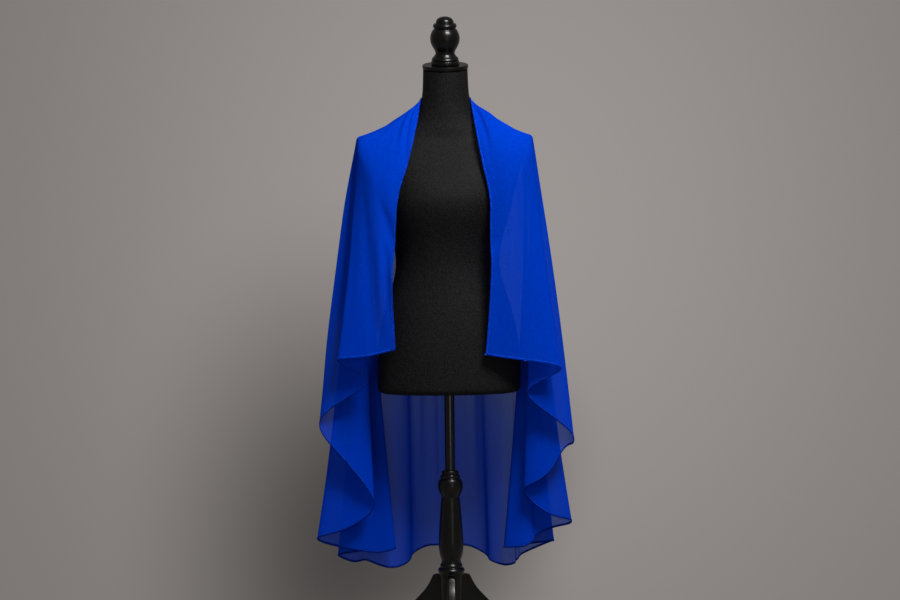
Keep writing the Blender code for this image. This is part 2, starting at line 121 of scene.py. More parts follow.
RIGHT_FOLDS = (
    (0.00, 0.0845, -0.125, 0.746, 90.0, 0.120, 0.004, 0.000),
    (0.30, 0.2611, -0.088, 0.7086, 0.0, 0.040, -0.004, 0.000),
    (0.37, 0.1827, -0.055, 0.649, 0.0, 0.060, 0.000, 0.000),
    (0.44, 0.2942, -0.017, 0.535, 0.0, 0.040, 0.005, -0.020),
    (0.47, 0.2394, 0.010, 0.460, -90.0, 0.050, 0.000, 0.005),
    (0.50, 0.1747, 0.034, 0.409, 0.0, 0.050, 0.000, 0.016),
    (0.55, 0.2904, 0.070, 0.3285, 0.0, 0.055, -0.013, -0.007),
    (0.58, 0.1990, 0.090, 0.287, 180.0, 0.020, 0.000, 0.000),
    (0.60, 0.1740, 0.080, 0.268, -90.0, 0.030, 0.000, 0.000),
    (0.63, 0.1271, 0.106, 0.264, 0.0, 0.050, 0.008, 0.000),
    (0.69, 0.2518, 0.150, 0.271, 0.0, 0.050, -0.010, 0.000),
    (0.74, 0.1802, 0.172, 0.2393, -90.0, 0.050, 0.000, 0.000),
    (0.77, 0.1608, 0.166, 0.2225, -100.0, 0.020, 0.000, 0.000),
    (0.785, 0.1545, 0.161, 0.2145, -95.0, 0.014, 0.000, 0.000),
    (0.81, 0.1330, 0.157, 0.2108, -90.0, 0.030, 0.000, 0.000),
    (0.88, 0.0906, 0.200, 0.223, 0.0, 0.060, 0.000, 0.000),
    (0.94, 0.0320, 0.240, 0.2485, -90.0, 0.060, 0.000, 0.000),
)
BACK_MIDDLE = (1.00, 0.0, 0.245, 0.248, -90.0, 0.050, 0.000, 0.000)

# Soft creases along the falls. "from" and "to" are shares of the side's typical fall, 0 at the neck and 1 at
# the hem, and "at" and "ends_at" the crease's places there. A "from" below 0 leaves it partly raised at the
# neck's edge, and a place below 0 is the front edge. A positive rise is a ridge, a negative one a trough.
CREASE_COLUMNS = ("side", "at", "ends_at", "from", "to", "width", "rise")
CREASES = (
    # the left front, from the neck to the chest
    (-1, 0.050, 0.030, 0.01, 0.12, 0.0045, 0.0016),
    (-1, 0.236, -0.030, -0.01, 0.18, 0.0036, -0.0070),
    (-1, 0.090, 0.000, -0.01, 0.07, 0.0026, -0.0032),
    (-1, 0.115, -0.050, 0.16, 0.58, 0.0240, -0.0058),
    (-1, 0.150, 0.000, 0.00, 0.16, 0.0032, 0.0030),
    (-1, 0.245, 0.050, 0.02, 0.16, 0.0038, 0.0040),
    (-1, 0.293, 0.073, 0.03, 0.17, 0.0046, -0.0040),
    (-1, 0.245, 0.230, 0.07, 0.18, 0.0042, 0.0028),
    (-1, 0.440, 0.420, 0.02, 0.12, 0.0150, 0.0030),
    (-1, 0.000, 0.000, 0.07, 0.42, 0.0300, -0.0050),
    # the left front, from the chest to the hem
    (-1, 0.215, 0.105, 0.26, 1.00, 0.0200, -0.0040),
    (-1, 0.110, 0.050, 0.34, 0.98, 0.0130, 0.0042),
    (-1, 0.065, 0.030, 0.36, 0.84, 0.0095, -0.0040),
    (-1, 0.000, 0.000, 0.36, 0.86, 0.0170, 0.0065),
    (-1, 0.285, 0.280, 0.30, 1.00, 0.0080, 0.0020),
    # the right front, from the neck to the chest
    (1, 0.035, 0.030, 0.01, 0.24, 0.0040, 0.0018),
    (1, 0.173, 0.060, -0.01, 0.15, 0.0036, -0.0062),
    (1, 0.200, 0.095, 0.01, 0.16, 0.0042, 0.0048),
    (1, 0.287, 0.190, -0.005, 0.11, 0.0036, -0.0062),
    (1, 0.360, 0.290, 0.03, 0.19, 0.0050, 0.0034),
    (1, 0.440, 0.430, 0.02, 0.10, 0.0150, 0.0040),
    (1, 0.440, 0.430, 0.07, 0.14, 0.0150, -0.0038),
    (1, 0.000, 0.000, 0.07, 0.48, 0.0340, -0.0100),
    # the right front, from the chest to the hem
    (1, 0.045, 0.040, 0.38, 0.92, 0.0120, -0.0024),
    (1, 0.110, 0.120, 0.36, 0.95, 0.0150, 0.0020),
    (1, 0.205, 0.205, 0.34, 1.00, 0.0100, -0.0018),
    (1, 0.262, 0.268, 0.28, 1.00, 0.0045, 0.0014),
    # the sides
    (-1, 0.418, 0.416, 0.24, 1.00, 0.0045, -0.0030),
    (-1, 0.434, 0.434, 0.22, 0.96, 0.0050, 0.0045),
    (-1, 0.400, 0.405, 0.22, 0.90, 0.0090, 0.0040),
    (-1, 0.470, 0.475, 0.24, 1.00, 0.0110, -0.0045),
    (-1, 0.530, 0.528, 0.22, 0.94, 0.0100, 0.0040),
    (-1, 0.640, 0.645, 0.22, 1.00, 0.0120, -0.0050),
    (1, 0.405, 0.400, 0.22, 0.92, 0.0090, 0.0040),
    (1, 0.485, 0.480, 0.22, 0.95, 0.0110, -0.0040),
    (1, 0.530, 0.535, 0.22, 1.00, 0.0100, 0.0035),
    (1, 0.660, 0.660, 0.22, 1.00, 0.0120, -0.0050),
    # the back, from the neck and down to the hem
    (-1, 0.745, 0.755, 0.06, 0.66, 0.0085, 0.0060),
    (-1, 0.775, 0.785, 0.10, 0.72, 0.0085, -0.0065),
    (-1, 0.808, 0.812, 0.08, 0.64, 0.0090, 0.0070),
    (-1, 0.842, 0.840, 0.12, 0.70, 0.0085, -0.0060),
    (-1, 0.868, 0.872, 0.10, 0.60, 0.0080, 0.0045),
    (1, 0.765, 0.780, 0.08, 0.50, 0.0090, -0.0040),
    (1, 0.870, 0.865, 0.10, 0.62, 0.0090, 0.0060),
    (1, 0.900, 0.895, 0.08, 0.66, 0.0085, -0.0060),
    (1, 0.950, 0.952, 0.10, 0.58, 0.0090, 0.0055),
    (-1, 0.520, 0.560, 0.01, 0.20, 0.0070, 0.0025),
    (-1, 0.680, 0.700, 0.01, 0.30, 0.0080, -0.0028),
    (-1, 0.900, 0.905, 0.02, 0.95, 0.0110, -0.0050),
    (-1, 0.965, 0.965, 0.10, 1.00, 0.0080, 0.0100),
    (1, 0.560, 0.580, 0.01, 0.22, 0.0070, -0.0022),
    (1, 0.700, 0.710, 0.01, 0.34, 0.0080, 0.0028),
    (1, 0.820, 0.835, 0.01, 0.50, 0.0090, -0.0040),
    (1, 0.920, 0.915, 0.03, 0.98, 0.0120, 0.0055),
    (1, 0.980, 0.970, 0.12, 0.85, 0.0100, -0.0045),
)
CREASE_FADE = 0.3  # the share of a crease's length over which it comes in, and goes out again
WANDER = 0.0016  # the most that the cloth leaves its even shape by, all over
WANDER_ACROSS = 0.055  # the size of these waves across the falls, as an angle in the cut
WANDER_ALONG = 0.260  # and along them, in metres
WANDER_FREE = (0.02, 0.16)  # metres from the neck, where it is held, to where it is free
WANDER_PLACE = 3.7  # a place in the noise, whose waves suit the cloth

# ---------------------------------------------------------------- the dress form's table
# "square" is 2 for an oval section and more for a squarer one, and "tilt" lowers its front, in degrees.
FORM_COLUMNS = ("height", "half_width", "front", "back", "shift", "square", "tilt")
FORM = (
    (0.6500, 0.1560, 0.1000, 0.1020, 0.000, 2.15, 0.0),
    (0.6530, 0.1635, 0.1070, 0.1090, 0.000, 2.15, 0.0),
    (0.6650, 0.1690, 0.1130, 0.1150, 0.000, 2.15, 0.0),
    (0.7600, 0.1680, 0.1120, 0.1180, 0.000, 2.15, 0.0),
    (0.8400, 0.1520, 0.1030, 0.1080, 0.000, 2.15, 0.0),
    (0.9000, 0.1320, 0.0940, 0.0930, 0.000, 2.10, 0.0),
    (0.9550, 0.1190, 0.0890, 0.0860, 0.000, 2.10, 0.0),
    (1.0100, 0.1290, 0.0980, 0.0920, 0.000, 2.10, 0.0),
    (1.0600, 0.1440, 0.1190, 0.0990, 0.000, 2.20, 0.0),
    (1.1000, 0.1540, 0.1260, 0.1050, 0.000, 2.25, 0.0),
    (1.1400, 0.1640, 0.1130, 0.1110, 0.000, 2.30, 0.0),
    (1.1800, 0.1760, 0.0940, 0.1130, 0.000, 2.40, 0.0),
    (1.2150, 0.1860, 0.0760, 0.1020, 0.000, 2.40, 0.0),
    (1.2350, 0.1820, 0.0650, 0.0880, 0.000, 2.20, 0.0),
    (1.2500, 0.1540, 0.0600, 0.0780, 0.000, 2.00, 0.0),
    (1.2650, 0.1180, 0.0590, 0.0720, 0.000, 2.00, 0.0),
    (1.2850, 0.0860, 0.0560, 0.0650, 0.000, 2.00, 1.0),
    (1.3100, 0.0650, 0.0540, 0.0570, -0.001, 2.00, 3.0),
    (1.3450, 0.0550, 0.0530, 0.0530, -0.003, 2.00, 6.0),
    (1.3800, 0.0530, 0.0525, 0.0525, -0.006, 2.00, 10.0),
    (1.4100, 0.0523, 0.0523, 0.0523, -0.009, 2.00, 13.0),
)
FORM_SIDES = 128
FORM_RINGS_PER_ROW = 6
FORM_SHARP = math.radians(50)  # edges sharper than this stay so, at the neck's cut and underneath
ROUNDING_PASSES = 16  # that ease the rings between two rows of a table

# ---------------------------------------------------------------- turned profiles, radius and height
# A row lies on a smooth curve with its neighbours, or is a corner where it says "crisp".
FINIAL = (
    (0.0000, 0.1126), (0.0080, 0.1117), (0.0138, 0.1093), (0.0178, 0.1063), (0.0204, 0.1012),
    (0.0212, 0.0972, "crisp"), (0.0250, 0.0958), (0.0275, 0.0922), (0.0272, 0.0880),
    (0.0250, 0.0848, "crisp"), (0.0296, 0.0790), (0.0330, 0.0712), (0.0346, 0.0625),
    (0.0333, 0.0515), (0.0293, 0.0420), (0.0240, 0.0325), (0.0223, 0.0262, "crisp"),
    (0.0256, 0.0205), (0.0299, 0.0160), (0.0316, 0.0126), (0.0303, 0.0102, "crisp"),
    (0.0325, 0.0085), (0.0332, 0.0040), (0.0330, 0.0000, "crisp"), (0.0000, 0.0000, "crisp"),
)
COLUMN = (
    (0.0000, 0.4655, "crisp"), (0.0165, 0.4655, "crisp"), (0.0195, 0.4635), (0.0200, 0.4590),
    (0.0192, 0.4555, "crisp"), (0.0232, 0.4540), (0.0238, 0.4500), (0.0225, 0.4470, "crisp"),
    (0.0268, 0.4420), (0.0297, 0.4290), (0.0272, 0.4150), (0.0222, 0.4050, "crisp"),
    (0.0212, 0.4010), (0.0228, 0.3930), (0.0262, 0.3500), (0.0290, 0.3050), (0.0292, 0.2850),
    (0.0268, 0.2640), (0.0228, 0.2510, "crisp"), (0.0240, 0.2440), (0.0266, 0.2400),
    (0.0262, 0.2350, "crisp"), (0.0300, 0.2320), (0.0320, 0.2275), (0.0300, 0.2235, "crisp"),
    (0.0290, 0.2215, "crisp"), (0.0290, 0.2170, "crisp"), (0.0000, 0.2170, "crisp"),
)
PROFILE_STEPS = 5
TURNED_STEPS = 72

# A row for each section along a leg: the distance from the axis and the height of its upper and its lower
# side, and its width.
LEG_COLUMNS = ("top_reach", "top_height", "under_reach", "under_height", "wide")
LEG = (
    (0.0150, 0.2165, 0.0150, 0.1120, 0.0200),
    (0.0380, 0.2165, 0.0360, 0.1100, 0.0200),
    (0.0465, 0.2140, 0.0500, 0.1060, 0.0200),
    (0.0515, 0.2045, 0.0600, 0.1000, 0.0205),
    (0.0595, 0.1900, 0.0700, 0.0930, 0.0210),
    (0.0730, 0.1735, 0.0830, 0.0830, 0.0215),
    (0.0930, 0.1545, 0.1000, 0.0700, 0.0215),
    (0.1250, 0.1210, 0.1230, 0.0520, 0.0220),
    (0.1620, 0.0830, 0.1500, 0.0330, 0.0225),
    (0.1960, 0.0560, 0.1850, 0.0140, 0.0245),
    (0.2240, 0.0400, 0.2200, 0.0000, 0.0310),
    (0.2440, 0.0330, 0.2430, 0.0000, 0.0350),
    (0.2560, 0.0250, 0.2580, 0.0000, 0.0290),
    (0.2620, 0.0170, 0.2640, 0.0040, 0.0160),
)
LEG_HEADINGS = {"leg_front": -90.0, "leg_right": 30.0, "leg_left": 150.0}
LEG_SIDES = 40
LEG_RINGS_PER_ROW = 6
LEG_ROUNDNESS = 0.28  # 1 would be an oval section, 0 a square one
LEG_SHARP = math.radians(60)

# ---------------------------------------------------------------- the studio
FLOOR_RADIUS = 1.90
FLOOR_SOLID = 0.70  # from here on the floor fades into the grey all round
FLOOR_AHEAD = 0.75  # of the stand's axis, so that it fades out before the camera sees it
FLOOR_SIDES = 96
FLOOR_DARK = (0.235, 0.222, 0.212)
FLOOR_LIGHT = (0.265, 0.250, 0.240)

WALL = (0.240, 0.223, 0.214)
SHADE = (0.045, 0.042, 0.040)
# Soft ovals on the wall behind the object, one over the other: a wide darker oval, a painted pool of light
# behind the object, and three painted shadows of the object, one low on the left and two behind its back,
# where they show through the cloth. Each row gives the middle across and up and the half width and height, as
# tangents of the view, and the colour and strength in the middle.
WALL_SPOTS = (
    (0.000, 0.000, 0.800, 0.800, (0.166, 0.154, 0.148), 1.00),
    (0.025, 0.005, 0.350, 0.400, (0.332, 0.305, 0.292), 1.00),
    (-0.052, -0.150, 0.115, 0.180, SHADE, 0.90),
    (-0.005, -0.130, 0.070, 0.110, SHADE, 0.42),
    (0.000, -0.108, 0.078, 0.075, SHADE, 0.75),
)
WALL_EDGE = 0.3  # how far backwards a direction must point for these to show in full

# "unseen" names the kinds of ray that a light is left out of.
LIGHT_COLUMNS = ("name", "at", "aim", "size", "power", "unseen")
LIGHTS = (
    ("key", (0.88, -1.95, 3.30), (0.0, 0.0, 0.95), (1.00, 1.00), 165.0, ()),
    ("fill", (-1.20, -4.20, 1.30), (0.0, 0.0, 0.70), (1.80, 1.80), 22.0, ("glossy",)),
    ("top", (0.00, 1.40, 3.20), (0.0, 0.1, 0.80), (1.60, 1.20), 18.0, ("glossy",)),
    ("shine", (1.25, -4.00, 0.90), (0.0, 0.0, 0.60), (0.30, 1.90), 9.0, ("diffuse", "transmission")),
)

CAMERA_DISTANCE = 5.0
CAMERA_HEIGHT = 1.05
CAMERA_SIDE = 0.0045
CAMERA_AIM = 0.868  # the height that it looks at, on the stand's axis
CAMERA_ROLL = -0.0121  # radians

# ---------------------------------------------------------------- finishes
# The scales of threads, slubs and knit are in waves a metre.
CLOTH_CLEAR = 0.138  # the share of light that passes straight through one layer, seen head on
CLOTH_DEEP = (0.0, 0.031, 0.42)
CLOTH_BRIGHT = (0.0, 0.042, 0.50)
HEM_CLEAR = 0.02
HEM_DEEP = (0.0, 0.014, 0.21)
HEM_BRIGHT = (0.0, 0.052, 0.62)
# Painted shade on the hem: its colour sinks towards the deep one near the floor, in full below the first of
# these heights and not at all above the second.
HEM_PAINTED_SHADE = 0.4  # how far its colour sinks towards the deep one near the floor
HEM_PAINTED_SHADE_HEIGHTS = (0.45, 0.70)
CREPE = (900.0, 60.0, 1.0)  # fine across a thread and long along it
CREPE_CROSSING = (60.0, 900.0, 1.0)
CREPE_CONTRAST = (0.35, 0.65)
GLOW = 0.30  # the share of the cloth's light that it scatters through to its other side
TINT_THROUGH = (0.80, 1.0, 1.0, 1.0)  # of what shows through it
LEAST_COSINE = 0.05
SLUBS = 300.0
SLUBS_CONTRAST = (0.30, 0.70)
SLUBS_CLEAR = (1.50, 0.50)  # times what passes
THREAD = (0.01, 0.085, 0.72)
THREAD_SHADE = 0.75  # its fibres' darker tint, as a share of that
# Over the left front and the cloth beside it far less light passes, a painted shade that darkens that
# stretch, and a little more passes everywhere else. Each side of that stretch fades in between two places in
# the flat cut.
PAINTED_SHADE_FRONT_EDGE = (0.0, -0.10)  # across the cut
PAINTED_SHADE_HEM = (-0.66, -0.56)
PAINTED_SHADE_BACK = (-0.36, -0.26)  # away from the straight edge
PAINTED_SHADE_CLEAR = (1.25, 0.25)  # times what passes, outside and inside

JERSEY_DARK = (0.0, 0.0, 0.0)
JERSEY_LIGHT = (0.0088, 0.0086, 0.0086)
JERSEY_KNIT = (270.0, 270.0, 220.0)
JERSEY_CONTRAST = (0.32, 0.68)
JERSEY_PATCH_SHARE = 0.25
JERSEY_ROUGHNESS = (0.62, 0.70)
LACQUER = (0.0009, 0.0009, 0.0009)
LACQUER_TINTS = (0.7, 1.3)
LACQUER_ROUGHNESS = (0.266, 0.2968)
TUBE_DARK = (0.0004, 0.0004, 0.0004)
TUBE_LIGHT = (0.0012, 0.0012, 0.0012)
TUBE_DRAWN = (500.0, 500.0, 6.0)  # fine lines along the tube
TUBE_ROUGHNESS = (0.17, 0.22)
PATCH_CONTRAST = (0.3, 0.7)  # the range of a noise that a finish follows


# ---------------------------------------------------------------- small helpers
def rows(columns, table):
    """The table's rows as dictionaries, by column name."""
    return [dict(zip(columns, row)) for row in table]


def hermite(a, b, slope_a, slope_b, u):
    """A value between a and b at u, for numbers and vectors alike."""
    u2, u3 = u * u, u * u * u
    start = a * (2 * u3 - 3 * u2 + 1) + slope_a * (u3 - 2 * u2 + u)
    return start + b * (3 * u2 - 2 * u3) + slope_b * (u3 - u2)


def even_slope(before, after):
    """The slope where two stretches meet, flat at a peak, so that the curve never overshoots."""
    if before * after <= 0.0:
        return 0.0
    return 2.0 * before * after / (before + after)


def smooth_column(places, values, at):
    """The value at a place, on a smooth curve through the values that never overshoots them."""
    last = len(places) - 2
    i = max(k for k in range(last + 1) if places[k] <= at or k == 0)
    rise = [(values[k + 1] - values[k]) / (places[k + 1] - places[k]) for k in range(last + 1)]
    width = places[i + 1] - places[i]
    start = even_slope(rise[i - 1], rise[i]) if i > 0 else rise[0]
    end = even_slope(rise[i], rise[i + 1]) if i < last else rise[last]
    return hermite(values[i], values[i + 1], start * width, end * width, (at - places[i]) / width)


def smooth_rows(table, key, at):
    """A row worked out at a place between the table's rows, each column on its own smooth curve."""
    places = [row[key] for row in table]
    return {name: smooth_column(places, [row[name] for row in table], at) for name in table[0]}


def even_rows(table, steps, first, last):
    """Rows between the table's rows, rounded off but for the first few and the last few stretches."""
    names = list(table[0])
    places = list(range(len(table)))
    count = (len(table) - 1) * steps + 1
    columns = {
        name: [smooth_column(places, [row[name] for row in table], k / steps) for k in range(count)]
        for name in names
    }
    for values in columns.values():
        for _ in range(ROUNDING_PASSES):
            before = list(values)
            for k in range(first * steps + 1, count - 1 - last * steps):
                values[k] = (before[k - 1] + 2 * before[k] + before[k + 1]) / 4
    return [{name: columns[name][k] for name in names} for k in range(count)]


def smoothstep(low, high, value):
    """0 below low and 1 above high, with a soft start and end between them."""
    t = np.clip((value - low) / (high - low), 0.0, 1.0)
    return t * t * (3 - 2 * t)


def signed_power(value, power):
    return math.copysign(abs(value) ** power, value)


def circle(sides, start=0.0):
    """The cosines and sines of even steps round a circle, begun at a share of one step."""
    angles = [2 * math.pi * (k + start) / sides for k in range(sides)]
    return [(math.cos(angle), math.sin(angle)) for angle in angles]


def add_piece(name, mesh, material, at=(0.0, 0.0, 0.0), turn=(0.0, 0.0, 0.0)):
    """A new piece on the fixed body, at a place counted from the stand's axis."""
    piece = bpy.data.objects.new(name, mesh)
    bpy.context.scene.collection.objects.link(piece)
    piece.location = STAND_AT + Vector(at)
    piece.rotation_euler = turn
    mesh.materials.append(material)
    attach(piece, "root")
    return piece


def finish_node(name, material):
    """Gives a node of the frame its finish."""
    node = bpy.data.objects[name]
    node.data.materials.clear()
    node.data.materials.append(material)


def grid_faces(count, width, closed_round=False):
    """Faces between rows of points, which may be closed rings."""
    across = width if closed_round else width - 1
    return [
        (r * width + c, r * width + (c + 1) % width,
         (r + 1) * width + (c + 1) % width, (r + 1) * width + c)
        for r in range(count - 1)
        for c in range(across)
    ]


def turn_outwards(mesh):
    shape = bmesh.new()
    shape.from_mesh(mesh)
    bmesh.ops.recalc_face_normals(shape, faces=shape.faces)
    shape.to_mesh(mesh)
    shape.free()


def solid(name, rings, sharp):
    """A closed mesh through rings of points, smooth but for the edges that are sharper than an angle."""
    points = [point for ring in rings for point in ring]
    width = len(rings[0])
    faces = grid_faces(len(rings), width, closed_round=True)
    faces.append(tuple(range(width)))
    faces.append(tuple(len(points) - 1 - k for k in range(width)))
    mesh = bpy.data.meshes.new(name)
    mesh.from_pydata(points, [], faces)
    turn_outwards(mesh)
    mesh.shade_smooth()
    mesh.set_sharp_from_angle(angle=sharp)
    return mesh


# ---------------------------------------------------------------- materials
class Nodes:
    """The node tree of a material or a world, with short ways to add to it."""

    def __init__(self, owner, shader="Principled BSDF"):
        owner.use_nodes = True
        self.owner = owner
        self.tree = owner.node_tree
        self.shader = self.tree.nodes[shader]

    def put(self, node, key, value):
        """Gives an input its value, or links it to an output."""
        if isinstance(value, bpy.types.NodeSocket):
            self.tree.links.new(value, node.inputs[key])
        else:
            node.inputs[key].default_value = value

    def add(self, kind, inputs, **settings):
        node = self.tree.nodes.new("ShaderNode" + kind)
        for key, value in settings.items():
            setattr(node, key, value)
        for key, value in inputs.items():
            self.put(node, key, value)
        return node

    def place(self):
        return self.add("TexCoord", {}).outputs["Object"]

    def math(self, kind, a, b):
        return self.add("Math", {0: a, 1: b}, operation=kind).outputs[0]

    def noise(self, vector, scale=1.0, detail=2.0, roughness=0.5):
        inputs = {"Vector": vector, "Scale": scale, "Detail": detail, "Roughness": roughness}
        return self.add("TexNoise", inputs).outputs["Fac"]

    def stretched(self, vector, scale):
        return self.add("Mapping", {"Vector": vector, "Scale": scale}).outputs["Vector"]

    def between(self, value, old, new=(0.0, 1.0), kind="LINEAR"):
        """The value carried over from the old range to the new one, and held at its ends."""
        ends = {"From Min": old[0], "From Max": old[1], "To Min": new[0], "To Max": new[1]}
        return self.add("MapRange", {"Value": value, **ends}, interpolation_type=kind).outputs["Result"]

    def mix_colour(self, share, first, second):
        inputs = {"Factor": share}
        for key, colour in (("A", first), ("B", second)):
            inputs[key] = (*colour, 1.0) if isinstance(colour, tuple) else colour
        return self.add("Mix", inputs, data_type="RGBA").outputs["Result"]

    def bump(self, height, strength, distance):
        inputs = {"Height": height, "Strength": strength, "Distance": distance}
        self.put(self.shader, "Normal", self.add("Bump", inputs).outputs["Normal"])

    def finish(self, colour, roughness, specular=0.5):
        """Sets the shader's main inputs and gives back the material."""
        self.put(self.shader, "Base Color", colour)
        self.put(self.shader, "Roughness", roughness)
        self.put(self.shader, "Specular IOR Level", specular)
        return self.owner


def cloth_threads(nodes):
    """0 to 1: uneven crepe threads along and across the cut, in the flat cut's own metres."""
    flat = nodes.add("UVMap", {}).outputs["UV"]
    along = nodes.noise(nodes.stretched(flat, CREPE))
    across = nodes.noise(nodes.stretched(flat, CREPE_CROSSING))
    return nodes.math("MULTIPLY", nodes.math("ADD", along, across), 0.5)


def share_passed(nodes, clear):
    """The share of light that passes at each point, given the share that passes seen head on."""
    # The threads close up as the cloth turns away: what passes is clear to the power 1 / cosine.
    facing = nodes.add("LayerWeight", {}).outputs["Facing"]
    cosine = nodes.math("MAXIMUM", nodes.math("SUBTRACT", 1.0, facing), LEAST_COSINE)
    passed = nodes.math("POWER", clear, nodes.math("DIVIDE", 1.0, cosine))
    flat = nodes.add("UVMap", {}).outputs["UV"]
    uneven = nodes.between(nodes.noise(flat, SLUBS, detail=1.0), SLUBS_CONTRAST, SLUBS_CLEAR)
    # Painted shade: less passes over the left front and the cloth beside it, a little more elsewhere.
    cut = nodes.add("SeparateXYZ", {"Vector": flat}).outputs
    inside = nodes.between(cut["X"], PAINTED_SHADE_FRONT_EDGE)
    inside = nodes.math("MULTIPLY", inside, nodes.between(cut["X"], PAINTED_SHADE_HEM))
    inside = nodes.math("MULTIPLY", inside, nodes.between(cut["Y"], PAINTED_SHADE_BACK))
    uneven = nodes.math("MULTIPLY", uneven, nodes.between(inside, (0.0, 1.0), PAINTED_SHADE_CLEAR))
    return nodes.math("MULTIPLY", passed, uneven)


def make_chiffon(name, clear, deep, bright, painted_shade=0.0):
    """Sheer crepe. "clear" is the share of light that passes straight through it, seen head on. The last
    argument is painted shade: how far its colour sinks towards the deep one near the floor."""
    nodes = Nodes(bpy.data.materials.new(name))
    threads = cloth_threads(nodes)
    # Painted shade: lower down, the colour sinks towards the deep one.
    if painted_shade > 0.0:
        height = nodes.add("SeparateXYZ", {"Vector": nodes.place()}).outputs["Z"]
        painted_darkening = nodes.between(height, HEM_PAINTED_SHADE_HEIGHTS, (painted_shade, 0.0))
        threads = nodes.math("SUBTRACT", threads, painted_darkening)
    colour = nodes.mix_colour(nodes.between(threads, CREPE_CONTRAST), deep, bright)
    nodes.bump(threads, strength=0.15, distance=0.0003)
    nodes.finish(colour, roughness=0.90, specular=0.0)
    glow = nodes.add("BsdfTranslucent", {"Color": colour}).outputs["BSDF"]
    body = nodes.add("MixShader", {"Fac": GLOW, 1: nodes.shader.outputs["BSDF"], 2: glow})
    through = nodes.add("BsdfTransparent", {"Color": TINT_THROUGH}).outputs["BSDF"]
    share = share_passed(nodes, clear)
    sheer = nodes.add("MixShader", {"Fac": share, 1: body.outputs["Shader"], 2: through})
    nodes.put(nodes.tree.nodes["Material Output"], "Surface", sheer.outputs["Shader"])
    return nodes.owner


def make_thread():
    """Sewing thread, a little lighter than the cloth."""
    nodes = Nodes(bpy.data.materials.new("thread"))
    fibres = nodes.noise(nodes.place(), scale=2500.0)
    dark = tuple(THREAD_SHADE * c for c in THREAD)
    return nodes.finish(nodes.mix_colour(fibres, dark, THREAD), roughness=0.5)


def make_jersey():
    """Matte black knit, stretched smooth over the form, with a little lint."""
    nodes = Nodes(bpy.data.materials.new("jersey_black"))
    knit = nodes.noise(nodes.stretched(nodes.place(), JERSEY_KNIT), detail=3.0, roughness=0.7)
    patches = nodes.noise(nodes.place(), scale=9.0, detail=3.0)
    lint = nodes.math("MULTIPLY", nodes.between(knit, JERSEY_CONTRAST), 1.0 - JERSEY_PATCH_SHARE)
    share = nodes.math("ADD", lint, nodes.math("MULTIPLY", patches, JERSEY_PATCH_SHARE))
    nodes.bump(knit, strength=0.80, distance=0.0010)
    roughness = nodes.between(patches, PATCH_CONTRAST, JERSEY_ROUGHNESS)
    colour = nodes.mix_colour(share, JERSEY_DARK, JERSEY_LIGHT)
    return nodes.finish(colour, roughness, specular=0.076)


def make_lacquer():
    """Black satin lacquer over turned wood, whose grain makes the gloss a little uneven."""
    nodes = Nodes(bpy.data.materials.new("lacquer_black"))
    pores = nodes.noise(nodes.place(), scale=30.0)
    dark, light = [tuple(tint * c for c in LACQUER) for tint in LACQUER_TINTS]
    roughness = nodes.between(pores, PATCH_CONTRAST, LACQUER_ROUGHNESS)
    return nodes.finish(nodes.mix_colour(pores, dark, light), roughness, specular=0.22)


def make_tube_finish():
    """Satin black on a drawn tube."""
    nodes = Nodes(bpy.data.materials.new("tube_black"))
    drawn = nodes.noise(nodes.stretched(nodes.place(), TUBE_DRAWN))
    nodes.bump(drawn, strength=0.04, distance=0.0001)
    roughness = nodes.between(drawn, PATCH_CONTRAST, TUBE_ROUGHNESS)
    return nodes.finish(nodes.mix_colour(drawn, TUBE_DARK, TUBE_LIGHT), roughness, specular=0.30)


# ---------------------------------------------------------------- the veil
def hem_points(folds, side):
    """Points along one side's hem, evenly spaced, each with its place and its belly."""
    found = []
    heights = [row["height"] for row in folds]
    places = [row["place"] for row in folds]
    counts = list(range(len(folds)))
    for i in range(len(folds) - 1):
        here, there = folds[i], folds[i + 1]
        ends, runs = [], []
        for row in (here, there):
            heading = math.radians(row["heading"])
            ends.append(Vector((side * row["out"], row["depth"], 0.0)))
            runs.append(Vector((side * math.sin(heading), math.cos(heading), 0.0)) * row["bow"])
        length = (ends[1] - ends[0]).length + abs(there["height"] - here["height"]) / 2
        steps = max(LEAST_COLUMNS, round(length / CLOTH_STEP))
        for k in range(steps):
            u = k / steps
            point = hermite(ends[0], ends[1], runs[0], runs[1], u)
            point.z = smooth_column(counts, heights, i + u)
            point.z -= here["sag"] * math.sin(math.pi * u) ** 2
            place = smooth_column(counts, places, i + u)
            belly = here["belly"] + (there["belly"] - here["belly"]) * u
            found.append((place, point, belly))
    last = folds[-1]
    end = Vector((side * last["out"], last["depth"], last["height"]))
    return found + [(last["place"], end, last["belly"])]


def fall_line(yoke, side, place, hem, belly):
    """One line of the cloth, from the neck over the shoulder or the chest and down to the hem."""
    row = smooth_rows(yoke, "place", place)
    angle = math.radians(row["neck_angle"])
    neck = Vector((side * math.cos(angle), math.sin(angle), 0.0)) * NECK_RING
    neck.z = NECK_EDGE_HEIGHT
    over = Vector((side * row["over_out"], row["over_depth"], row["over_height"]))
    rim_out = row["rim_left"] if side < 0 else row["rim_right"]
    rim = Vector((side * rim_out, row["rim_depth"], row["rim_height"]))
    before = rim + (over - rim).normalized() * row["turn"]
    after = rim + (hem - rim).normalized() * row["turn"]
    line = []
    for k in range(YOKE_STEPS):
        u = k / YOKE_STEPS
        line.append(neck * (1 - u) ** 2 + over * (2 * u * (1 - u)) + before * u**2)
    for k in range(TURN_STEPS):
        u = k / TURN_STEPS
        line.append(before * (1 - u) ** 2 + rim * (2 * u * (1 - u)) + after * u**2)
    for k in range(FALL_STEPS + 1):
        u = k / FALL_STEPS
        point = after + (hem - after) * u
        point.x += side * belly * 4 * u * (1 - u)
        line.append(point)
    return line


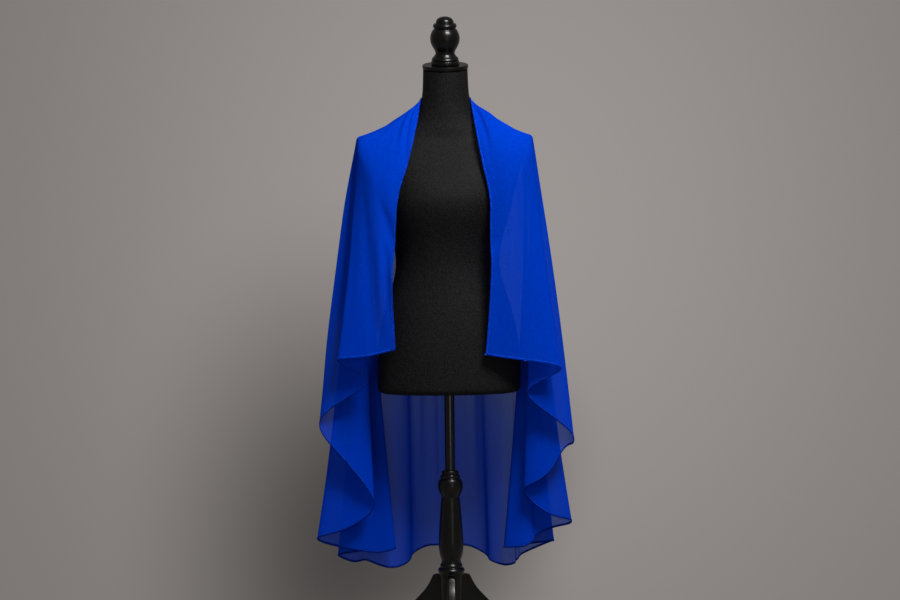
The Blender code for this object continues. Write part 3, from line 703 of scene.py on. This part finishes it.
def outward_normals(grid):
    """Unit normals of the grid of points, all on the cloth's outer side."""
    across = np.gradient(grid, axis=0)
    along = np.gradient(grid, axis=1)
    found = np.cross(across, along)
    found /= np.maximum(np.linalg.norm(found, axis=2, keepdims=True), 1e-12)
    middle = found[len(grid) // 2, -1]
    return found if middle[1] > 0 else -found


def lengths_across(grid):
    steps = np.linalg.norm(np.diff(grid, axis=0), axis=2)
    return np.concatenate([np.zeros((1, grid.shape[1])), np.cumsum(steps, axis=0)])


def lengths_along(grid):
    steps = np.linalg.norm(np.diff(grid, axis=1), axis=2)
    return np.concatenate([np.zeros((grid.shape[0], 1)), np.cumsum(steps, axis=1)], axis=1)


def veil_grid():
    """The cloth's middle surface: an array of fall lines, left front to right front, with their places."""
    yoke = rows(YOKE_COLUMNS, YOKE)
    lines, places, sides = [], [], []
    for side, folds in ((-1, LEFT_FOLDS), (1, RIGHT_FOLDS)):
        table = rows(FOLD_COLUMNS, folds + (BACK_MIDDLE,))
        points = hem_points(table, side)
        half = [fall_line(yoke, side, place, hem, belly) for place, hem, belly in points]
        marks = [place for place, _, _ in points]
        if side < 0:
            half, marks = half[:-1], marks[:-1]
        else:
            half, marks = half[::-1], marks[::-1]
        lines += half
        places += marks
        sides += [side] * len(marks)
    return np.array([[tuple(p) for p in line] for line in lines]), np.array(places), np.array(sides)


def crease_rises(grid, places, sides):
    """How far each point moves out along its normal, from all the creases together."""
    across = lengths_across(grid)
    along = lengths_along(grid)
    share = along / along[:, -1:]
    total = np.zeros(share.shape)
    for crease in rows(CREASE_COLUMNS, CREASES):
        mine = np.flatnonzero(sides == crease["side"])
        order = mine[np.argsort(places[mine])]
        typical = share[order].mean(axis=0)
        progress = (typical - crease["from"]) / (crease["to"] - crease["from"])
        centre = crease["at"] + (crease["ends_at"] - crease["at"]) * np.clip(progress, 0.0, 1.0)
        fade = smoothstep(0.0, CREASE_FADE, progress)
        fade = fade * (1 - smoothstep(1.0 - CREASE_FADE, 1.0, progress))
        for row in np.flatnonzero(fade > 0.0):
            middle = np.interp(centre[row], places[order], across[order, row])
            reach = (across[:, row] - middle) / crease["width"]
            total[:, row] += crease["rise"] * fade[row] * np.exp(-(reach**2))
    return total


def wander_rises(grid, flat):
    """A slow unevenness all over, less at the neck, where the cloth is held."""
    along = lengths_along(grid)
    found = np.zeros(along.shape)
    for c in range(grid.shape[0]):
        for r in range(grid.shape[1]):
            x, y = flat[c, r]
            angle = math.atan2(-y, x)
            spot = Vector((angle / WANDER_ACROSS, along[c, r] / WANDER_ALONG, WANDER_PLACE))
            found[c, r] = noise.noise(spot) * WANDER
    return found * smoothstep(*WANDER_FREE, along)


def flat_cut(grid):
    """Where each point lies in the flat cut: lines fan out from the neck's stretch of the straight edge."""
    across = lengths_across(grid)
    along = lengths_along(grid)
    hem_share = across[:, -1] / across[-1, -1]
    neck_share = across[:, 0] - across[-1, 0] / 2
    angle = math.pi * (1 - hem_share)
    flat = np.empty(grid.shape[:2] + (2,))
    flat[:, :, 0] = neck_share[:, None] + along * np.cos(angle)[:, None]
    flat[:, :, 1] = -along * np.sin(angle)[:, None]
    return flat


def lay_flat(mesh, places):
    """Gives each point its place in the flat cut, as the mesh's only UV map."""
    layer = mesh.uv_layers.new(name="flat_cut")
    corners = np.empty(len(mesh.loops), dtype=np.int32)
    mesh.loops.foreach_get("vertex_index", corners)
    layer.uv.foreach_set("vector", places[corners].astype(np.float32).ravel())


def build_veil(chiffon):
    """One open sheet of cloth, which the hem's band goes round."""
    grid, places, sides = veil_grid()
    flat = flat_cut(grid)
    rises = crease_rises(grid, places, sides) + wander_rises(grid, flat)
    grid = grid + outward_normals(grid) * rises[:, :, None]
    count, width = grid.shape[:2]
    mesh = bpy.data.meshes.new("veil_cloth")
    mesh.from_pydata([tuple(p) for p in grid.reshape(-1, 3)], [], grid_faces(count, width))
    lay_flat(mesh, flat.reshape(-1, 2))
    mesh.shade_smooth()
    return add_piece("veil_cloth", mesh, chiffon), grid, flat


def border(grid, flat):
    """The cloth's edge as one loop: each point with its way in, its normal and its place in the cut."""
    normals = outward_normals(grid)
    across = np.gradient(grid, axis=0)
    along = np.gradient(grid, axis=1)
    across /= np.linalg.norm(across, axis=2, keepdims=True)
    along /= np.linalg.norm(along, axis=2, keepdims=True)
    count, width = grid.shape[:2]
    loop = [(0, r) for r in range(width - 1)]
    loop += [(c, width - 1) for c in range(count - 1)]
    loop += [(count - 1, r) for r in range(width - 1, 0, -1)]
    loop += [(c, 0) for c in range(count - 1, 0, -1)]
    found = []
    for c, r in loop:
        inward = across[c, r] * ((c == 0) - (c == count - 1))
        inward = inward + along[c, r] * ((r == 0) - (r == width - 1))
        normal = normals[c, r]
        inward = inward - normal * inward.dot(normal)
        found.append((Vector(grid[c, r]), Vector(inward), Vector(normal), flat[c, r]))
    return found


def build_hem(edge, chiffon):
    """The turned hem: a flat band with round edges that the cloth's edge runs inside of."""
    section = [(0.5 - 0.5 * c, 0.5 * s) for c, s in circle(HEM_SIDES)]
    mesh = bpy.data.meshes.new("veil_hem")
    points, uvs = [], []
    for at, inward, normal, flat in edge:
        for reach, lift in section:
            points.append(at + inward * (reach * HEM_WIDTH) + normal * (lift * HEM_THICK))
            uvs.append((flat[0] + reach * HEM_WIDTH, flat[1]))
    faces = grid_faces(len(edge), HEM_SIDES, closed_round=True)
    last = (len(edge) - 1) * HEM_SIDES
    for c in range(HEM_SIDES):
        after = (c + 1) % HEM_SIDES
        faces.append((last + c, last + after, after, c))
    mesh.from_pydata(points, [], faces)
    lay_flat(mesh, np.array(uvs))
    mesh.shade_smooth()
    turn_outwards(mesh)
    return add_piece("veil_hem", mesh, chiffon)


def stitch(points, faces, middle, run, normal, scale=1.0):
    """One stitch: a short thread with pointed ends that dip into the hem."""
    side = run.cross(normal).normalized()
    start = len(points)
    for share, size, lift in STITCH:
        centre = middle + (run * (share * STITCH_LENGTH) + normal * (lift * STITCH_RADIUS)) * scale
        for c, s in circle(STITCH_SIDES):
            points.append(centre + (side * c + normal * s) * (STITCH_RADIUS * size * scale))
    for face in grid_faces(len(STITCH), STITCH_SIDES, closed_round=True):
        faces.append(tuple(start + k for k in face))
    faces.append(tuple(start + k for k in range(STITCH_SIDES))[::-1])
    faces.append(tuple(len(points) - STITCH_SIDES + k for k in range(STITCH_SIDES)))


def knot(points, faces, middle):
    """A small knot in the thread, with its turns lying every way."""
    for k in range(KNOT_TURNS):
        turn = KNOT_TURN * k
        tilt = KNOT_TILT * math.sin(KNOT_SWAY * k)
        level = math.cos(tilt)
        run = Vector((math.cos(turn) * level, math.sin(turn) * level, math.sin(tilt)))
        stitch(points, faces, middle, run, run.orthogonal().normalized(), KNOT_SCALE)


def build_stitches(edge, corner, thread):
    """A row of stitches along the hem's inner side, on the cloth's outer and inner face, and knots."""
    points, faces = [], []
    reach = HEM_WIDTH * STITCH_LINE
    loop = [at + inward.normalized() * reach for at, inward, _, _ in edge]
    count = len(loop)
    travelled, due = 0.0, STITCH_PITCH / 2
    for k in range(count):
        here, there = loop[k], loop[(k + 1) % count]
        length = (there - here).length
        while due <= travelled + length and length > 1e-9:
            u = (due - travelled) / length
            run = (there - here).normalized()
            normal = (edge[k][2] * (1 - u) + edge[(k + 1) % count][2] * u).normalized()
            normal = (normal - run * normal.dot(run)).normalized()
            middle = here + (there - here) * u
            for face in (1.0, -1.0):
                lift = normal * (face * HEM_THICK * STITCH_LIFT)
                stitch(points, faces, middle + lift, run, normal * face)
            due += STITCH_PITCH
        travelled += length
    for away in KNOTS:
        k, travelled = corner, 0.0
        while travelled < away:
            travelled += (edge[k][0] - edge[k - 1][0]).length
            k -= 1
        knot(points, faces, edge[k][0])
    mesh = bpy.data.meshes.new("veil_stitches")
    mesh.from_pydata(points, [], faces)
    mesh.shade_smooth()
    turn_outwards(mesh)
    return add_piece("veil_stitches", mesh, thread)


# ---------------------------------------------------------------- the dress form
def form_ring(row):
    """One section of the dress form, a rounded oblong, deeper behind or in front as the body is."""
    points = []
    power = 2.0 / row["square"]
    middle = Vector((0.0, row["shift"], row["height"]))
    tilted = Matrix.Rotation(math.radians(row["tilt"]), 3, "X")
    for c, s in circle(FORM_SIDES):
        depth = row["back"] if s > 0 else row["front"]
        out = row["half_width"] * signed_power(c, power)
        points.append(tilted @ Vector((out, depth * signed_power(s, power), 0.0)) + middle)
    return points


def build_form(jersey):
    """The torso, closed at the neck and underneath."""
    table = rows(FORM_COLUMNS, FORM)
    rings = [form_ring(row) for row in even_rows(table, FORM_RINGS_PER_ROW, first=2, last=0)]
    torso = add_piece("torso", solid("torso", rings, FORM_SHARP), jersey)
    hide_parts("dress_form")


# ---------------------------------------------------------------- turned wood
def smooth_profile(profile):
    """The profile with a round curve between its rows, and corners left at its crisp ones."""
    points = [Vector(row[:2]) for row in profile]
    found = []
    for i in range(len(points) - 1):
        a, b = points[i], points[i + 1]
        chord = b - a
        slopes = []
        for end in (i, i + 1):
            if "crisp" in profile[end] or end in (0, len(points) - 1):
                slopes.append(chord)
            else:
                way = (points[end + 1] - points[end - 1]).normalized()
                slopes.append(way * chord.length)
        for k in range(PROFILE_STEPS):
            found.append(hermite(a, b, slopes[0], slopes[1], k / PROFILE_STEPS))
    found.append(points[-1])
    return [(max(p.x, 0.0), p.y) for p in found]


def turned(name, profile, material, at=(0.0, 0.0, 0.0), turn=(0.0, 0.0, 0.0)):
    """A piece turned round its own Z axis, from a profile that runs down its outer side."""
    points = smooth_profile(profile)
    mesh = bpy.data.meshes.new(name)
    mesh.from_pydata([(r, 0.0, z) for r, z in points], [(k, k + 1) for k in range(len(points) - 1)], [])
    piece = add_piece(name, mesh, material, at, turn)
    screw = piece.modifiers.new("turned", "SCREW")
    screw.axis = "Z"
    screw.steps = TURNED_STEPS
    screw.render_steps = TURNED_STEPS
    screw.use_merge_vertices = True
    screw.merge_threshold = 0.00005
    screw.use_smooth_shade = True
    return piece


# ---------------------------------------------------------------- the legs
def leg_ring(row):
    """One section of a leg along +X, a slab with rounded edges."""
    top = Vector((row["top_reach"], 0.0, row["top_height"]))
    under = Vector((row["under_reach"], 0.0, row["under_height"]))
    middle = (top + under) / 2
    ring = []
    for c, s in circle(LEG_SIDES, 0.5):
        across = signed_power(c, LEG_ROUNDNESS) * row["wide"] / 2
        up = signed_power(s, LEG_ROUNDNESS)
        ring.append(middle + (top - under) * up / 2 + Vector((0.0, across, 0.0)))
    return ring


def build_legs(lacquer):
    """Three curved legs with flat tops, whose inner ends are let into the hub."""
    table = rows(LEG_COLUMNS, LEG)
    rings = [leg_ring(row) for row in even_rows(table, LEG_RINGS_PER_ROW, first=2, last=1)]
    for name, heading in LEG_HEADINGS.items():
        mesh = solid(name + "_shaped", rings, LEG_SHARP)
        turn = (0.0, 0.0, math.radians(heading))
        leg = add_piece(name + "_shaped", mesh, lacquer, turn=turn)
        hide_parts(name)


# ---------------------------------------------------------------- studio
def build_lights():
    """Soft lights, placed from the floor under the stand."""
    for row in rows(LIGHT_COLUMNS, LIGHTS):
        data = bpy.data.lights.new(row["name"], "AREA")
        data.shape = "RECTANGLE"
        data.size, data.size_y = row["size"]
        data.energy = row["power"]
        light = bpy.data.objects.new(row["name"], data)
        bpy.context.scene.collection.objects.link(light)
        at = Vector(row["at"])
        light.location = STAND_AT + at
        light.rotation_euler = (at - Vector(row["aim"])).to_track_quat("Z", "Y").to_euler()
        for way in row["unseen"]:
            setattr(light, "visible_" + way, False)


def build_world():
    """Warm grey all round. Behind the object a painted pool of light makes it lighter, with the object's
    painted soft shadow low on the left and behind its back.
    """
    world = bpy.data.worlds.new("studio")
    bpy.context.scene.world = world
    nodes = Nodes(world, "Background")
    way = nodes.add("TexCoord", {}).outputs["Generated"]
    backwards = nodes.add("SeparateXYZ", {"Vector": way}).outputs["Y"]
    behind = nodes.between(backwards, (0.0, WALL_EDGE))
    # The painted pool of light and the painted shadows, laid on the wall one oval over the other.
    wall = WALL
    for across, up, wide, tall, colour, strength in WALL_SPOTS:
        inputs = {0: way, 1: (1 / wide, 0.0, 1 / tall), 2: (-across / wide, 0.0, -up / tall)}
        place = nodes.add("VectorMath", inputs, operation="MULTIPLY_ADD").outputs["Vector"]
        reach = nodes.add("VectorMath", {0: place}, operation="LENGTH").outputs["Value"]
        fade = nodes.between(reach, (0.0, 1.0), (strength, 0.0), "SMOOTHSTEP")
        wall = nodes.mix_colour(nodes.math("MULTIPLY", fade, behind), wall, colour)
    nodes.put(nodes.shader, "Color", wall)


def build_floor():
    """A pale floor that fades into the studio's grey."""
    shape = bmesh.new()
    bmesh.ops.create_circle(shape, cap_ends=True, segments=FLOOR_SIDES, radius=FLOOR_RADIUS)
    mesh = bpy.data.meshes.new("floor")
    shape.to_mesh(mesh)
    shape.free()
    floor = bpy.data.objects.new("floor", mesh)
    floor.location = STAND_AT + Vector((0.0, -FLOOR_AHEAD, 0.0))
    bpy.context.scene.collection.objects.link(floor)
    nodes = Nodes(bpy.data.materials.new("floor_paint"))
    distance = nodes.add("VectorMath", {0: nodes.place()}, operation="LENGTH").outputs["Value"]
    faded = nodes.between(distance, (FLOOR_SOLID, FLOOR_RADIUS), (1.0, 0.0), "SMOOTHSTEP")
    nodes.put(nodes.shader, "Alpha", faded)
    specks = nodes.noise(nodes.place(), scale=60.0, detail=3.0)
    colour = nodes.mix_colour(specks, FLOOR_DARK, FLOOR_LIGHT)
    mesh.materials.append(nodes.finish(colour, roughness=0.9))


def build_camera():
    data = bpy.data.cameras.new("camera")
    data.lens = 84.8
    data.sensor_width = 36.0
    camera = bpy.data.objects.new("camera", data)
    bpy.context.scene.collection.objects.link(camera)
    pitch = math.atan((CAMERA_HEIGHT - CAMERA_AIM) / CAMERA_DISTANCE)
    camera.location = STAND_AT + Vector((CAMERA_SIDE, -CAMERA_DISTANCE, CAMERA_HEIGHT))
    level = Matrix.Rotation(math.radians(90) - pitch, 4, "X")
    camera.rotation_euler = (level @ Matrix.Rotation(CAMERA_ROLL, 4, "Z")).to_euler()
    bpy.context.scene.camera = camera


# ---------------------------------------------------------------- all of it
def main():
    bpy.context.scene.view_settings.view_transform = "Standard"
    build_world()
    build_floor()
    build_camera()
    build_lights()

    chiffon = make_chiffon("chiffon_sheer", CLOTH_CLEAR, CLOTH_DEEP, CLOTH_BRIGHT)
    doubled = make_chiffon("chiffon_hem", HEM_CLEAR, HEM_DEEP, HEM_BRIGHT, HEM_PAINTED_SHADE)
    thread = make_thread()
    jersey = make_jersey()
    lacquer = make_lacquer()
    tube = make_tube_finish()

    cloth, grid, flat = build_veil(chiffon)
    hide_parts("veil")
    edge = border(grid, flat)
    hem = build_hem(edge, doubled)
    right_corner = sum(grid.shape[:2]) - 2  # its place in the edge, which starts at the left front's neck
    stitches = build_stitches(edge, right_corner, thread)

    build_form(jersey)
    finial_at = Vector((0.0, PLATE_DEPTH, PLATE_HEIGHT))
    finial_at += Matrix.Rotation(HEAD_TILT, 3, "X") @ Vector((0.0, 0.0, GAP))
    finial = turned("finial_turned", FINIAL, lacquer, finial_at, (HEAD_TILT, 0.0, 0.0))
    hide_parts("finial")
    column = turned("column_turned", COLUMN, lacquer)
    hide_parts("column")
    build_legs(lacquer)
    for name in ("neck_plate", "hub"):
        finish_node(name, lacquer)
    finish_node("pole", tube)


main()
